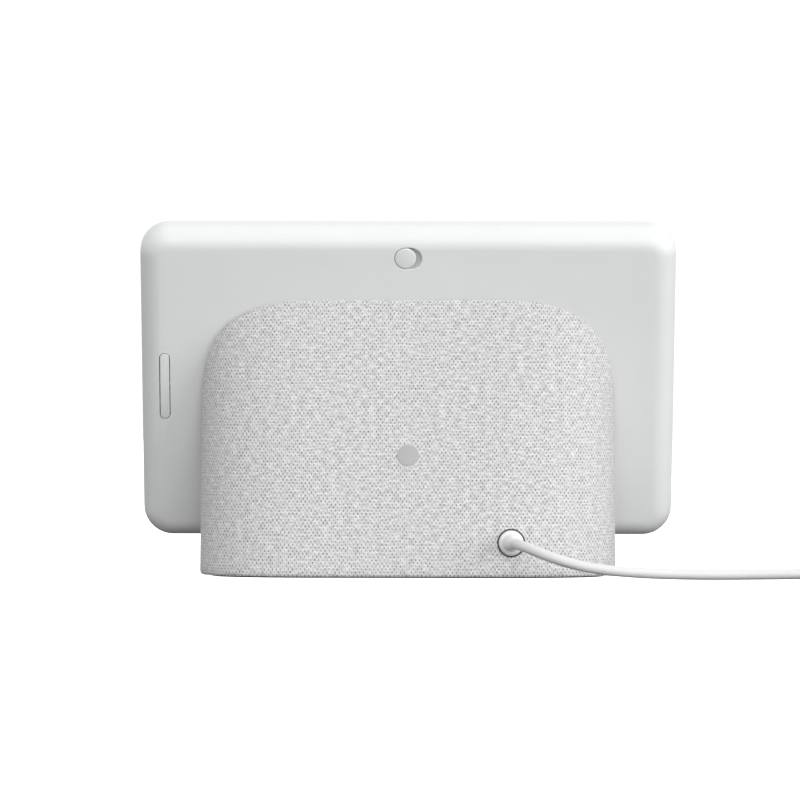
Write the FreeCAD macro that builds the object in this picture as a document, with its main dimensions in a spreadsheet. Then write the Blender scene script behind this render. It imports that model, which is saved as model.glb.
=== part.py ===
import FreeCAD, Part
import math
import os
import re

import Sketcher
from FreeCAD import Placement, Rotation, Vector

# A small countertop smart display: a leaning screen slab on a fabric-covered speaker base.
# Frame: millimetres, +Z up, origin at the centre of the foot's flat face on the table.
# The screen faces -Y, the fabric rear and the power inlet face +Y.

SIZES = {
    # display slab, measured along its own leaning frame; depth runs from its back to its glass
    "display_width": 178.5,
    "display_tall": 110.3,
    "display_corner": 10.0,
    "display_lean": 20.45,
    "back_edge_radius": 7.0,
    "back_foot_y": -32.26,
    "back_foot_z": 10.83,
    "shell_wall": 2.0,
    "shell_step": 2.5,
    "shell_depth": 10.4,
    "glass_thick": 1.1,
    "glass_inset": 0.3,
    # screen stack
    "lcd_width": 160.0,
    "lcd_tall": 93.0,
    "lcd_thick": 1.8,
    "backlight_thick": 2.2,
    "tray_width": 165.0,
    "tray_tall": 98.0,
    "tray_back": 0.5,
    "tray_wall": 0.8,
    "gasket_margin": 0.5,
    "spreader_width": 130.0,
    "spreader_tall": 58.0,
    "spreader_thick": 0.8,
    "board_width": 120.0,
    "board_tall": 54.0,
    "board_thick": 0.8,
    "board_up": 64.0,
    # privacy slider at the top of the back
    "mute_up": 100.6,
    "mute_slot_width": 9.2,
    "mute_slot_tall": 7.7,
    "mute_cap_radius": 3.5,
    "mute_travel": 1.86,
    "mute_marker_thick": 0.6,
    # volume rocker at the side of the back
    "rocker_across": 81.4,
    "rocker_up": 55.35,
    "rocker_width": 3.1,
    "rocker_tall": 22.9,
    "rocker_gap": 0.25,
    "rocker_proud": 0.25,
    "rocker_axis_depth": 3.0,
    "trunnion_radius": 0.6,
    "trunnion_play": 0.05,
    "press_arm": 8.5,
    # fabric-covered base
    "base_half_width": 69.0,
    "base_half_depth": 33.65,
    "base_flat_half": 28.6,
    "base_rear_slope": 0.381,
    "base_lean_share": 0.65,
    "base_corner_weight": 1.066,
    "fabric_thick": 1.2,
    "housing_wall": 2.6,
    "seam_gap": 0.3,
    "fabric_bottom": 0.5,
    "floor_plate_bottom": 1.5,
    "floor_plate_thick": 2.0,
    "foot_inset": 3.6,
    # neck joint between base and display
    "neck_width": 84.0,
    "neck_tall": 30.0,
    "neck_up": 21.0,
    "neck_screw_across": 36.0,
    "neck_screw_up": 9.0,
    "neck_screw_radius": 1.5,
    "bracket_thick": 1.4,
    # loudspeaker, measured along its own axis from the housing's rear inner face
    "speaker_up": 42.0,
    "speaker_flange": 24.0,
    "speaker_screw_circle": 21.8,
    "speaker_gasket_thick": 0.8,
    "cone_radius": 14.5,
    "surround_radius": 17.8,
    "coil_inner": 6.0,
    "coil_outer": 6.4,
    # power inlet, plug and cord
    "inlet_across": -33.8,
    "inlet_up": 11.5,
    "inlet_bore": 4.15,
    "inlet_ring": 4.6,
    "plug_radius": 4.05,
    "plug_face": 30.9,
    "jack_face": 21.0,
    "cord_diameter": 3.4,
    "relief_length": 12.0,
    "coil_mid": 19.0,
    "coil_half_width": 7.0,
    "coil_tall": 10.2,
    "coil_lift": 0.6,
    "coil_x": -163.0,
    "coil_y": 24.0,
    "adapter_side": 42.0,
    "adapter_tall": 27.0,
    "adapter_y": -27.0,
}

doc = FreeCAD.newDocument("SmartDisplay")
sheet = doc.addObject("Spreadsheet::Sheet", "Sheet")
for row, (alias, size) in enumerate(SIZES.items(), start=1):
    sheet.set("A%d" % row, alias)
    sheet.set("B%d" % row, str(size))
    sheet.setAlias("B%d" % row, alias)
doc.recompute()

SUBPARTS = []


def bound(text):
    """The text with every driving dimension in it written as a reference to its cell."""
    def cell(word):
        return "Sheet." + word.group() if word.group() in SIZES else word.group()

    return re.sub(r"[a-z][a-z_]+", cell, text)


def number(text):
    """What an expression of driving dimensions comes to."""
    result = sheet.evalExpression(bound(text))
    return float(getattr(result, "Value", result))


def named(feature, label, place=None):
    """Registers a finished sub-part under its own label and place."""
    feature.Label = label
    if place is not None:
        feature.Placement = place
    SUBPARTS.append(feature)
    return feature


# ------------------------------------------------------------------ places
LEAN = number("display_lean")
BACK_FOOT = Vector(0, number("back_foot_y"), number("back_foot_z"))
ON_DISPLAY = Placement(BACK_FOOT, Rotation(Vector(1, 0, 0), -LEAN))
REAR_ANGLE = math.degrees(math.atan(number("base_rear_slope")))
SPEAKER_SEAT = Vector(
    0,
    number("base_half_depth - fabric_thick - housing_wall - speaker_up * base_rear_slope"),
    number("speaker_up"),
)
ON_REAR_WALL = Placement(SPEAKER_SEAT, Rotation(Vector(1, 0, 0), REAR_ANGLE))
AT_INLET = Placement(Vector(number("inlet_across"), 0, number("inlet_up")), Rotation())


# ------------------------------------------------------------------ sketch and feature helpers
def start_body(label, place):
    body = doc.addObject("PartDesign::Body", label)
    return named(body, label, place)


def origin_plane(body, role):
    return next(item for item in body.Origin.OriginFeatures if item.Role == role)


def new_sketch(body, role, lift="0"):
    """A sketch on one of the body's own planes. On XZ_Plane, lift is the depth from the back."""
    sketch = body.newObject("Sketcher::SketchObject", body.Name + "_sketch")
    sketch.AttachmentSupport = [(origin_plane(body, role), "")]
    sketch.MapMode = "FlatFace"
    sketch.setExpression("AttachmentOffset.Base.z", bound(lift))
    return sketch


def limit(sketch, kind, datum, *where):
    index = sketch.addConstraint(Sketcher.Constraint(kind, *where, number(datum)))
    sketch.setExpression("Constraints[%d]" % index, bound(datum))


def pin(sketch, curve, point, across, up):
    limit(sketch, "DistanceX", across, -1, 1, curve, point)
    limit(sketch, "DistanceY", up, -1, 1, curve, point)


def polygon(sketch, corners):
    spots = [Vector(number(across), number(up), 0) for across, up in corners]
    lines = [sketch.addGeometry(Part.LineSegment(a, b)) for a, b in zip(spots, spots[1:] + spots[:1])]
    for line, following in zip(lines, lines[1:] + lines[:1]):
        sketch.addConstraint(Sketcher.Constraint("Coincident", line, 2, following, 1))
    for line, (across, up) in zip(lines, corners):
        pin(sketch, line, 1, across, up)


def circle(sketch, across, up, radius):
    spot = Vector(number(across), number(up), 0)
    curve = sketch.addGeometry(Part.Circle(spot, Vector(0, 0, 1), number(radius)))
    pin(sketch, curve, 3, across, up)
    limit(sketch, "Radius", radius, curve)


def rounded_loop(sketch, centres, radius, first_angle):
    """Arcs of one radius about the centres in turn, joined by tangent lines."""
    reach = number(radius)
    sweep = 2 * math.pi / len(centres)
    arcs = []
    for index, (across, up) in enumerate(centres):
        spot = Vector(number(across), number(up), 0)
        begin = first_angle + index * sweep
        disc = Part.Circle(spot, Vector(0, 0, 1), reach)
        arcs.append(sketch.addGeometry(Part.ArcOfCircle(disc, begin, begin + sweep)))
    for index, arc in enumerate(arcs):
        following = arcs[(index + 1) % len(arcs)]
        start = sketch.getPoint(arc, 2)
        end = sketch.getPoint(following, 1)
        line = sketch.addGeometry(Part.LineSegment(start, end))
        sketch.addConstraint(Sketcher.Constraint("Tangent", arc, 2, line, 1))
        sketch.addConstraint(Sketcher.Constraint("Tangent", line, 2, following, 1))
    for arc, (across, up) in zip(arcs, centres):
        pin(sketch, arc, 3, across, up)
    limit(sketch, "Radius", radius, arcs[0])
    for arc in arcs[1:]:
        sketch.addConstraint(Sketcher.Constraint("Equal", arcs[0], arc))


def rounded_rectangle(sketch, width, tall, radius, across="0", up="0"):
    side = "((%s)/2 - (%s))" % (width, radius)
    rise = "((%s)/2 - (%s))" % (tall, radius)
    corners = [(1, 1), (-1, 1), (-1, -1), (1, -1)]
    centres = [("%s + %d * %s" % (across, i, side), "%s + %d * %s" % (up, j, rise)) for i, j in corners]
    rounded_loop(sketch, centres, radius, 0.0)


def stadium(sketch, width, tall, across, up):
    """A slot outline with full round ends, along its longer side."""
    if number(width) > number(tall):
        half = "((%s) - (%s))/2" % (width, tall)
        centres = [("%s - %s" % (across, half), up), ("%s + %s" % (across, half), up)]
        rounded_loop(sketch, centres, "(%s)/2" % tall, math.pi / 2)
    else:
        half = "((%s) - (%s))/2" % (tall, width)
        centres = [(across, "%s + %s" % (up, half)), (across, "%s - %s" % (up, half))]
        rounded_loop(sketch, centres, "(%s)/2" % width, 0.0)


def pad(body, sketch, length):
    feature = body.newObject("PartDesign::Pad", body.Name + "_pad")
    feature.Profile = sketch
    feature.setExpression("Length", bound(length))
    doc.recompute()
    return feature


def pocket(body, sketch, length):
    """Cuts the same way that pad adds, and makes sure that it cut something."""
    before = body.Shape.Volume
    feature = body.newObject("PartDesign::Pocket", body.Name + "_pocket")
    feature.Profile = sketch
    feature.Reversed = True
    feature.setExpression("Length", bound(length))
    doc.recompute()
    if body.Shape.Volume >= before - 1e-6:
        raise ValueError(body.Label + ": a pocket removed nothing")
    return feature


def fillet(body, feature, edges, radius):
    rounding = body.newObject("PartDesign::Fillet", body.Name + "_fillet")
    rounding.Base = (feature, edges)
    rounding.setExpression("Radius", bound(radius))
    doc.recompute()
    return rounding


def edges_at(shape, low, high):
    """Names of the edges whose whole length lies inside a box."""
    inside = FreeCAD.BoundBox(*low, *high)
    return ["Edge%d" % (i + 1) for i, edge in enumerate(shape.Edges) if inside.isInside(edge.BoundBox)]


def plate(label, place, width, tall, radius, across, up, depth, thick):
    """A flat rounded plate that faces the screen side, starting at a depth from the back."""
    body = start_body(label, place)
    sketch = new_sketch(body, "XZ_Plane", depth)
    rounded_rectangle(sketch, width, tall, radius, across, up)
    pad(body, sketch, thick)
    return body


def cut_circles(body, depth, length, spots, radius):
    sketch = new_sketch(body, "XZ_Plane", depth)
    for across, up in spots:
        circle(sketch, across, up, radius)
    pocket(body, sketch, length)


def turned(label, place, corners):
    """A solid of revolution about the place's own Y axis; corners are (radius, along the axis)."""
    body = start_body(label, place)
    sketch = new_sketch(body, "XY_Plane")
    polygon(sketch, corners)
    feature = body.newObject("PartDesign::Revolution", body.Name + "_turn")
    feature.Profile = sketch
    feature.ReferenceAxis = (sketch, ["V_Axis"])
    feature.Angle = 360.0
    doc.recompute()
    return body


def block(sizes, corner):
    """A Part box bound to the sheet, from one corner."""
    item = doc.addObject("Part::Box", "Block")
    for key, text in zip(("Length", "Width", "Height"), sizes):
        item.setExpression(key, bound(text))
    for axis, text in zip("xyz", corner):
        item.setExpression("Placement.Base." + axis, bound(text))
    return item


def rod(radius, length, foot, turn=90.0):
    """A Part cylinder bound to the sheet. Turned by 90 degrees about X it runs towards -Y."""
    item = doc.addObject("Part::Cylinder", "Rod")
    item.Placement = Placement(Vector(), Rotation(Vector(1, 0, 0), turn))
    item.setExpression("Radius", bound(radius))
    item.setExpression("Height", bound(length))
    for axis, text in zip("xyz", foot):
        item.setExpression("Placement.Base." + axis, bound(text))
    return item


def joined(label, place, items):
    fused = doc.addObject("Part::MultiFuse", label)
    fused.Shapes = items
    doc.recompute()
    return named(fused, label, place)


def cut_from(label, place, base, tools):
    """One Part object less several others."""
    tool = tools[0]
    if len(tools) > 1:
        tool = doc.addObject("Part::MultiFuse", label + "_tools")
        tool.Shapes = tools
    result = doc.addObject("Part::Cut", label)
    result.Base = base
    result.Tool = tool
    doc.recompute()
    return named(result, label, place)


def screws(
    label, place, spots, head_depth, head_thick, head_radius, shank_length, shank_radius, towards_back=True,
):
    """Identical screws: a head that starts at a depth and a shank beyond it."""
    items = []
    for across, up in spots:
        head_start = head_depth if not towards_back else "%s + %s" % (head_depth, head_thick)
        shank_start = "%s + %s" % (head_depth, head_thick) if not towards_back else head_depth
        turn = 90.0 if not towards_back else -90.0
        items.append(rod(head_radius, head_thick, (across, "-(%s)" % head_start, up), turn))
        items.append(rod(shank_radius, shank_length, (across, "-(%s)" % shank_start, up), turn))
    return joined(label, place, items)


def solid_part(label, shape):
    """A shape made directly, for what neither features nor primitives can draw."""
    feature = doc.addObject("Part::Feature", label)
    feature.Shape = shape
    return named(feature, label, Placement())


# ------------------------------------------------------------------ display
MID = "display_tall/2"
TRAY_DEPTH = "(shell_depth - lcd_thick - backlight_thick)"
BOARD_DEPTH = "(shell_wall + 0.8)"
BOARD_SCREWS = [("%d * 56" % i, "board_up + %d * 23" % j) for i in (-1, 1) for j in (-1, 1)]
NECK_SCREWS = [
    ("%d * neck_screw_across" % i, "neck_up + %d * neck_screw_up" % j) for i in (-1, 1) for j in (-1, 1)
]
SENSOR_UP = "(display_tall - 3.8)"
PINHOLES = [(across, SENSOR_UP) for across in ("-22", "0", "22")]


def rear_shell():
    """The moulded back: a tray with a soft edge, hollowed in two steps, and its control openings."""
    body = start_body("display_rear_shell", ON_DISPLAY)
    outline = new_sketch(body, "XZ_Plane")
    rounded_rectangle(outline, "display_width", "display_tall", "display_corner", up=MID)
    slab = pad(body, outline, "shell_depth")
    far = number("display_width")
    back_loop = edges_at(slab.Shape, (-far, -0.01, -far), (far, 0.01, far))
    fillet(body, slab, back_loop, "back_edge_radius")
    steps = [("shell_wall", "(shell_wall + shell_step)"), ("shell_wall + shell_step", "shell_wall")]
    for depth, wall in steps:
        hollow = new_sketch(body, "XZ_Plane", depth)
        width = "display_width - 2*" + wall
        tall = "display_tall - 2*" + wall
        rounded_rectangle(hollow, width, tall, "display_corner - " + wall, up=MID)
        pocket(body, hollow, "shell_depth - (%s)" % depth)
    bosses = new_sketch(body, "XZ_Plane", "shell_wall - 0.5")
    for across, up in BOARD_SCREWS:
        circle(bosses, across, up, "2.2")
    pad(body, bosses, "%s - shell_wall + 0.5" % BOARD_DEPTH)
    cut_circles(body, "0.9", "3", BOARD_SCREWS, "1.05")
    openings = new_sketch(body, "XZ_Plane", "-1")
    stadium(openings, "mute_slot_width", "mute_slot_tall", "0", "mute_up")
    stadium(
        openings, "rocker_width + 2*rocker_gap", "rocker_tall + 2*rocker_gap", "rocker_across", "rocker_up",
    )
    circle(openings, "0", "neck_up", "7")
    for across, up in NECK_SCREWS:
        circle(openings, across, up, "neck_screw_radius + 0.1")
    pocket(body, openings, "shell_wall + 1.5")
    return body


def screen():
    """The cover glass, the panel, its backlight and the metal tray behind them."""
    glass = plate(
        "front_glass", ON_DISPLAY, "display_width - 2*glass_inset", "display_tall - 2*glass_inset",
        "display_corner - glass_inset", "0", MID, "shell_depth", "glass_thick",
    )
    cut_circles(glass, "shell_depth - 0.5", "glass_thick + 1", PINHOLES[::2], "0.5")
    panel_depth = "shell_depth - lcd_thick"
    plate("lcd_panel", ON_DISPLAY, "lcd_width", "lcd_tall", "1.5", "0", MID, panel_depth, "lcd_thick")
    plate(
        "backlight_unit", ON_DISPLAY, "lcd_width + 2", "lcd_tall + 2", "1.5", "0", MID, TRAY_DEPTH,
        "backlight_thick",
    )
    tray = plate(
        "lcd_tray", ON_DISPLAY, "tray_width", "tray_tall", "2.5", "0", MID,
        TRAY_DEPTH + " - tray_back", "shell_depth - 0.2 - %s + tray_back" % TRAY_DEPTH,
    )
    hollow = new_sketch(tray, "XZ_Plane", TRAY_DEPTH)
    rounded_rectangle(hollow, "tray_width - 2*tray_wall", "tray_tall - 2*tray_wall", "1.7", up=MID)
    pocket(tray, hollow, "shell_depth")
    gasket = plate(
        "glass_gasket", ON_DISPLAY, "display_width - 2*shell_wall - 2*gasket_margin",
        "display_tall - 2*shell_wall - 2*gasket_margin", "7", "0", MID, "shell_depth - 1", "1",
    )
    window = new_sketch(gasket, "XZ_Plane", "shell_depth - 2")
    rounded_rectangle(window, "tray_width + 2*gasket_margin", "tray_tall + 2*gasket_margin", "3", up=MID)
    pocket(gasket, window, "3")
    cut_circles(gasket, "shell_depth - 2", "3", PINHOLES, "0.7")


def sensors():
    """The sensor strip along the top edge: two microphones and the light sensor between them."""
    plate("sensor_board", ON_DISPLAY, "58", "2.8", "0.5", "0", SENSOR_UP, "shell_depth - 2.9", "0.8")
    cells = []
    for across, up in PINHOLES[::2]:
        cells.append(block(("3.2", "1.1", "2.4"), (across + " - 1.6", "1 - shell_depth", up + " - 1.2")))
    joined("microphones", ON_DISPLAY, cells)
    plate("light_sensor", ON_DISPLAY, "2.6", "2.2", "0.3", "0", SENSOR_UP, "shell_depth - 2.1", "1.1")


def electronics():
    spreader_depth = TRAY_DEPTH + " - tray_back - spreader_thick"
    plate(
        "heat_spreader", ON_DISPLAY, "spreader_width", "spreader_tall", "4", "0", "board_up",
        spreader_depth, "spreader_thick",
    )
    board = plate(
        "main_board", ON_DISPLAY, "board_width", "board_tall", "3", "0", "board_up", BOARD_DEPTH,
        "board_thick",
    )
    cut_circles(board, "shell_wall", "board_thick + 2", BOARD_SCREWS, "1.1")
    can_depth = BOARD_DEPTH + " + board_thick"
    can_rise = "(%s - (%s))" % (spreader_depth, can_depth)
    shields = [("processor_shield", "38", "32", "-22"), ("radio_shield", "28", "24", "26")]
    for label, width, tall, across in shields:
        can = plate(label, ON_DISPLAY, width, tall, "1", across, "board_up", can_depth, can_rise)
        hollow = new_sketch(can, "XZ_Plane", can_depth)
        rounded_rectangle(hollow, width + " - 0.6", tall + " - 0.6", "0.7", across, "board_up")
        pocket(can, hollow, can_rise + " - 0.3")
    screws(
        "board_screws", ON_DISPLAY, BOARD_SCREWS, can_depth, "1.1", "1.9", "2.4", "1.0", towards_back=True,
    )
    for side, across in (("left", "64"), ("right", "-64")):
        plate("antenna_" + side, ON_DISPLAY, "26", "10", "1", across, "97.5", "shell_wall", "0.3")
    behind_tray = "-(%s - tray_back)" % TRAY_DEPTH
    flex_reach = "%s - tray_back - shell_wall - 1.6" % TRAY_DEPTH
    flex = [
        block(("18", "0.2", "26"), ("20", behind_tray, "7")),
        block(("18", flex_reach, "0.2"), ("20", behind_tray, "32.8")),
        block(("18", "0.2", "9"), ("20", "-(shell_wall + 1.8)", "32.8")),
    ]
    joined("display_flex", ON_DISPLAY, flex)


def neck_joint():
    """The bracket inside the display and the four screws that clamp it to the base."""
    bracket = plate(
        "neck_bracket", ON_DISPLAY, "neck_width", "neck_tall - 4", "3", "0", "neck_up", "shell_wall",
        "bracket_thick",
    )
    cut_circles(bracket, "1", "bracket_thick + 2", NECK_SCREWS, "neck_screw_radius + 0.03")
    cut_circles(bracket, "1", "bracket_thick + 2", [("0", "neck_up")], "7")
    screws(
        "neck_screws", ON_DISPLAY, NECK_SCREWS, "-(seam_gap + 3.8 + 1.7)", "1.7", "2.8",
        "seam_gap + 3.8 + shell_wall + bracket_thick", "neck_screw_radius", towards_back=False,
    )


def mute_control():
    """The privacy slider: a round cap in a slot, its marker plate, and the slide switch below it."""
    rest = "mute_travel/2"
    marker = plate(
        "mute_marker", ON_DISPLAY, "12.5", "10", "1.5", "0", "mute_up", "shell_wall", "mute_marker_thick",
    )
    stem_slot = new_sketch(marker, "XZ_Plane", "1")
    stadium(stem_slot, "mute_travel + 2.8", "2.8", "0", "mute_up")
    pocket(marker, stem_slot, "3")
    cap = start_body("mute_slider", ON_DISPLAY)
    disc = new_sketch(cap, "XZ_Plane", "-0.15")
    circle(disc, rest, "mute_up", "mute_cap_radius")
    top = pad(cap, disc, "shell_wall - 0.2")
    rim = edges_at(top.Shape, (-9, 0.1, 90), (9, 0.2, 110))
    fillet(cap, top, rim, "0.35")
    stem = new_sketch(cap, "XZ_Plane", "shell_wall - 0.4")
    circle(stem, rest, "mute_up", "1.1")
    pad(cap, stem, "mute_marker_thick + 0.7")
    carrier = new_sketch(cap, "XZ_Plane", "shell_wall + mute_marker_thick + 0.2")
    rounded_rectangle(carrier, "5.6", "5", "0.8", rest, "mute_up")
    pad(cap, carrier, "0.6")
    knob_depth = "(shell_wall + mute_marker_thick + 0.8)"
    plate("mute_switch_knob", ON_DISPLAY, "1.6", "1.6", "0.2", rest, "mute_up", knob_depth, "1.2")
    switch = plate(
        "mute_switch", ON_DISPLAY, "8.6", "3.6", "0.3", "0", "mute_up", knob_depth + " + 0.4", "1.3",
    )
    slot = new_sketch(switch, "XZ_Plane", knob_depth)
    rounded_rectangle(slot, "mute_travel + 2", "2", "0.3", "0", "mute_up")
    pocket(switch, slot, "1.3")
    plate("mute_board", ON_DISPLAY, "18", "6.4", "1", "0", "mute_up", knob_depth + " + 1.7", "0.6")


def volume_control():
    """The volume rocker: a long key on two trunnions over a rubber mat and two tact switches."""
    key = start_body("volume_rocker", ON_DISPLAY)
    face = new_sketch(key, "XZ_Plane", "-rocker_proud")
    stadium(face, "rocker_width", "rocker_tall", "rocker_across", "rocker_up")
    top = pad(key, face, "rocker_proud + 3.2")
    proud = number("rocker_proud")
    rim = edges_at(top.Shape, (70, proud - 0.01, 30), (89, proud + 0.01, 80))
    fillet(key, top, rim, "0.3")
    nubs = new_sketch(key, "XZ_Plane", "3")
    for sign in ("+", "-"):
        circle(nubs, "rocker_across", "rocker_up %s press_arm" % sign, "0.9")
    pad(key, nubs, "0.75")
    trunnion = new_sketch(key, "YZ_Plane", "rocker_across - 2.9")
    circle(trunnion, "-rocker_axis_depth", "rocker_up", "trunnion_radius")
    pad(key, trunnion, "5.8")
    ears = []
    for across, rise in (("rocker_across - 3.2", "2.3"), ("rocker_across + 2", "1.6")):
        ears.append(block(("1.2", rise, "4"), (across, "-(shell_wall + 2.3)", "rocker_up - 2")))
    bridge = block(("6.4", "0.45", "4"), ("rocker_across - 3.2", "-(shell_wall + 2.3)", "rocker_up - 2"))
    frame = doc.addObject("Part::MultiFuse", "CradleBlank")
    frame.Shapes = ears + [bridge]
    bore = doc.addObject("Part::Cylinder", "CradleBore")
    bore.Placement = Placement(Vector(), Rotation(Vector(0, 1, 0), 90))
    bore.setExpression("Radius", bound("trunnion_radius + trunnion_play"))
    bore.setExpression("Height", bound("8"))
    spot = ("rocker_across - 4", "-rocker_axis_depth", "rocker_up")
    for axis, text in zip("xyz", spot):
        bore.setExpression("Placement.Base." + axis, bound(text))
    cut_from("rocker_cradle", ON_DISPLAY, frame, [bore])
    pads = []
    switches = []
    for sign in ("+", "-"):
        height = "rocker_up %s press_arm" % sign
        pad_corner = ("rocker_across - 1.5", "-(shell_wall + 2.35)", height + " - 2.5")
        switch_corner = ("rocker_across - 1.5", "-(shell_wall + 3.05)", height + " - 1.5")
        pads.append(block(("3", "0.45", "5"), pad_corner))
        switches.append(block(("3", "0.7", "3"), switch_corner))
    joined("rocker_mat", ON_DISPLAY, pads)
    joined("volume_switches", ON_DISPLAY, switches)
    plate(
        "volume_board", ON_DISPLAY, "5.4", "30", "0.8", "rocker_across", "rocker_up", "shell_wall + 3.05",
        "0.6",
    )


# ------------------------------------------------------------------ base
def base_outline(height, inset):
    """The base's level outline: straight front and rear, joined by full conic corners."""
    slope = number("base_rear_slope")
    share = number("base_lean_share")
    middle = -height * slope * share
    deep = number("base_half_depth") - height * slope * (1 - share) - inset
    wide = number("base_half_width") - inset
    flat = number("base_flat_half")
    weights = [1.0, number("base_corner_weight"), 1.0]
    edges = []
    for side, end in ((1, 1), (1, -1), (-1, -1), (-1, 1)):
        begin = Vector(side * flat, middle + end * deep, height)
        corner = Vector(side * wide, middle + end * deep, height)
        finish = Vector(side * wide, middle, height)
        poles = [begin, corner, finish] if side * end > 0 else [finish, corner, begin]
        curve = Part.BSplineCurve()
        curve.buildFromPolesMultsKnots(poles, [3, 3], [0.0, 1.0], False, 2, weights)
        edges.append(curve.toShape())
        if side * end < 0:
            edges.append(Part.LineSegment(begin, Vector(-side * flat, begin.y, height)).toShape())
    return Part.Wire(edges)


def before_plane(clearance):
    """Everything on the screen side of a plane that lies a clearance behind the display's back."""
    box = Part.makeBox(400, 400, 400, Vector(-200, clearance - 400, -150))
    return box.transformGeometry(ON_DISPLAY.toMatrix())


def base_form(levels, clearance):
    """A ruled loft through (height, inset) levels, cut off along the display's back."""
    solid = Part.makeLoft([base_outline(height, inset) for height, inset in levels], True, True)
    return solid.cut(before_plane(clearance))


def local_box(width, deep, tall, across, near, up):
    """A box in the display's leaning frame; near is its low Y."""
    box = Part.makeBox(width, deep, tall, Vector(across - width / 2, near, up - tall / 2))
    box.Placement = ON_DISPLAY
    return box


def local_rod(place, radius, length, x, y, z):
    """A cylinder along a frame's +Y from (x, y, z)."""
    along = place.Rotation.multVec(Vector(0, 1, 0))
    return Part.makeCylinder(radius, length, place.multVec(Vector(x, y, z)), along)


TOP = 97.0
FABRIC = number("fabric_thick")
SKIN = FABRIC + number("housing_wall")
GAP = number("seam_gap")
FLOOR = number("floor_plate_bottom")
BASE_SCREWS = [(60.0, 9.0), (60.0, -13.0), (-60.0, 9.0), (-60.0, -13.0)]


def neck_window(margin, near, deep):
    """The block that fills the neck's opening, enlarged by a margin."""
    width = number("neck_width") + margin
    tall = number("neck_tall") + margin
    return local_box(width, deep, tall, 0, near, number("neck_up"))


def fabric_sleeve():
    """The knitted cover: one thin closed skin over the housing, with its hem at the foot."""
    bottom = number("fabric_bottom")
    outer = base_form([(bottom, 0.6), (bottom + 1.0, 0.0), (TOP, 0.0)], GAP)
    inner = base_form([(-5.0, FABRIC), (TOP, FABRIC)], GAP + FABRIC)
    skin = outer.cut(inner)
    skin = skin.cut(neck_window(0.6, -1, GAP + FABRIC + 2))
    hole = local_rod(AT_INLET, number("inlet_ring") + 0.05, 30, 0, 15, 0)
    return solid_part("fabric_sleeve", skin.cut(hole))


def base_housing():
    """The rigid shell under the fabric, with the neck pad, screw posts and sound holes."""
    outer = base_form([(FLOOR, FABRIC + 0.05), (TOP, FABRIC + 0.05)], GAP + FABRIC + 0.05)
    inner = base_form([(-5.0, SKIN), (TOP, SKIN)], GAP + SKIN)
    shell = outer.cut(inner)
    shell = shell.fuse(neck_window(0.0, 0.0, GAP + SKIN - 0.5))
    posts = [Part.makeCylinder(4.0, 12.0, Vector(x, y, FLOOR + 2.0)) for x, y in BASE_SCREWS]
    for post in posts:
        shell = shell.fuse(post.common(outer))
    holes = [Part.makeCylinder(1.2, 10.0, Vector(x, y, FLOOR + 1.0)) for x, y in BASE_SCREWS]
    holes.append(local_rod(AT_INLET, number("inlet_ring") + 0.05, 30, 0, 15, 0))
    holes.append(local_rod(ON_DISPLAY, 7.0, 12, 0, -2, number("neck_up")))
    screw_hole = number("neck_screw_radius") + 0.1
    for across, up in NECK_SCREWS:
        holes.append(local_rod(ON_DISPLAY, screw_hole, 12, number(across), -2, number(up)))
    holes.append(local_rod(ON_REAR_WALL, 1.2, 9, 0, -3, 0))
    for ring in (1, 2, 3):
        for step in range(6 * ring):
            turn = math.radians(step * 60.0 / ring)
            x, z = 5.0 * ring * math.cos(turn), 5.0 * ring * math.sin(turn)
            holes.append(local_rod(ON_REAR_WALL, 1.2, 9, x, -3, z))
    for x, z in speaker_screw_spots():
        holes.append(local_rod(ON_REAR_WALL, 0.85, 4.9, x, -3, z))
    return solid_part("base_housing", shell.cut(Part.makeCompound(holes)))


def floor_parts():
    """The floor plate that closes the housing, its screws and the silicone foot."""
    inset = SKIN + 0.1
    top = FLOOR + number("floor_plate_thick")
    sheet_metal = base_form([(FLOOR, inset), (top, inset)], GAP + SKIN + 0.1)
    holes = []
    for x, y in BASE_SCREWS:
        holes.append(Part.makeCylinder(1.3, 5.0, Vector(x, y, FLOOR - 1)))
        holes.append(Part.makeCylinder(2.4, 2.2, Vector(x, y, FLOOR - 1)))
    solid_part("floor_plate", sheet_metal.cut(Part.makeCompound(holes)))
    inset = number("foot_inset")
    outlines = [base_outline(0.0, inset + 0.3), base_outline(0.3, inset), base_outline(FLOOR, inset)]
    solid_part("foot_pad", Part.makeLoft(outlines, True, True))
    items = []
    for x, y in BASE_SCREWS:
        items.append(rod("2.2", "1.1", (str(x), str(y), "floor_plate_bottom + 0.05"), 0.0))
        items.append(rod("1.15", "8", (str(x), str(y), "floor_plate_bottom + 1.15"), 0.0))
    joined("base_screws", Placement(), items)


def badge():
    """A plain round badge that lies on the middle of the fabric."""
    up = 40.0
    foot_point = Vector(0, number("base_half_depth") - up * number("base_rear_slope"), up)
    place = Placement(foot_point, Rotation(Vector(1, 0, 0), REAR_ANGLE))
    turned("badge_disc", place, [("0", "0"), ("3.65", "0"), ("3.65", "0.15"), ("3.5", "0.3"), ("0", "0.3")])


# ------------------------------------------------------------------ loudspeaker
SPEAKER_SCREW_TURNS = (45, 135, 225, 315)


def speaker_screw_spots():
    """The four screws' places round the loudspeaker's axis."""
    spots = []
    for turn in SPEAKER_SCREW_TURNS:
        across = number("speaker_screw_circle * cos(%d)" % turn)
        up = number("speaker_screw_circle * sin(%d)" % turn)
        spots.append((across, up))
    return spots


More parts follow.
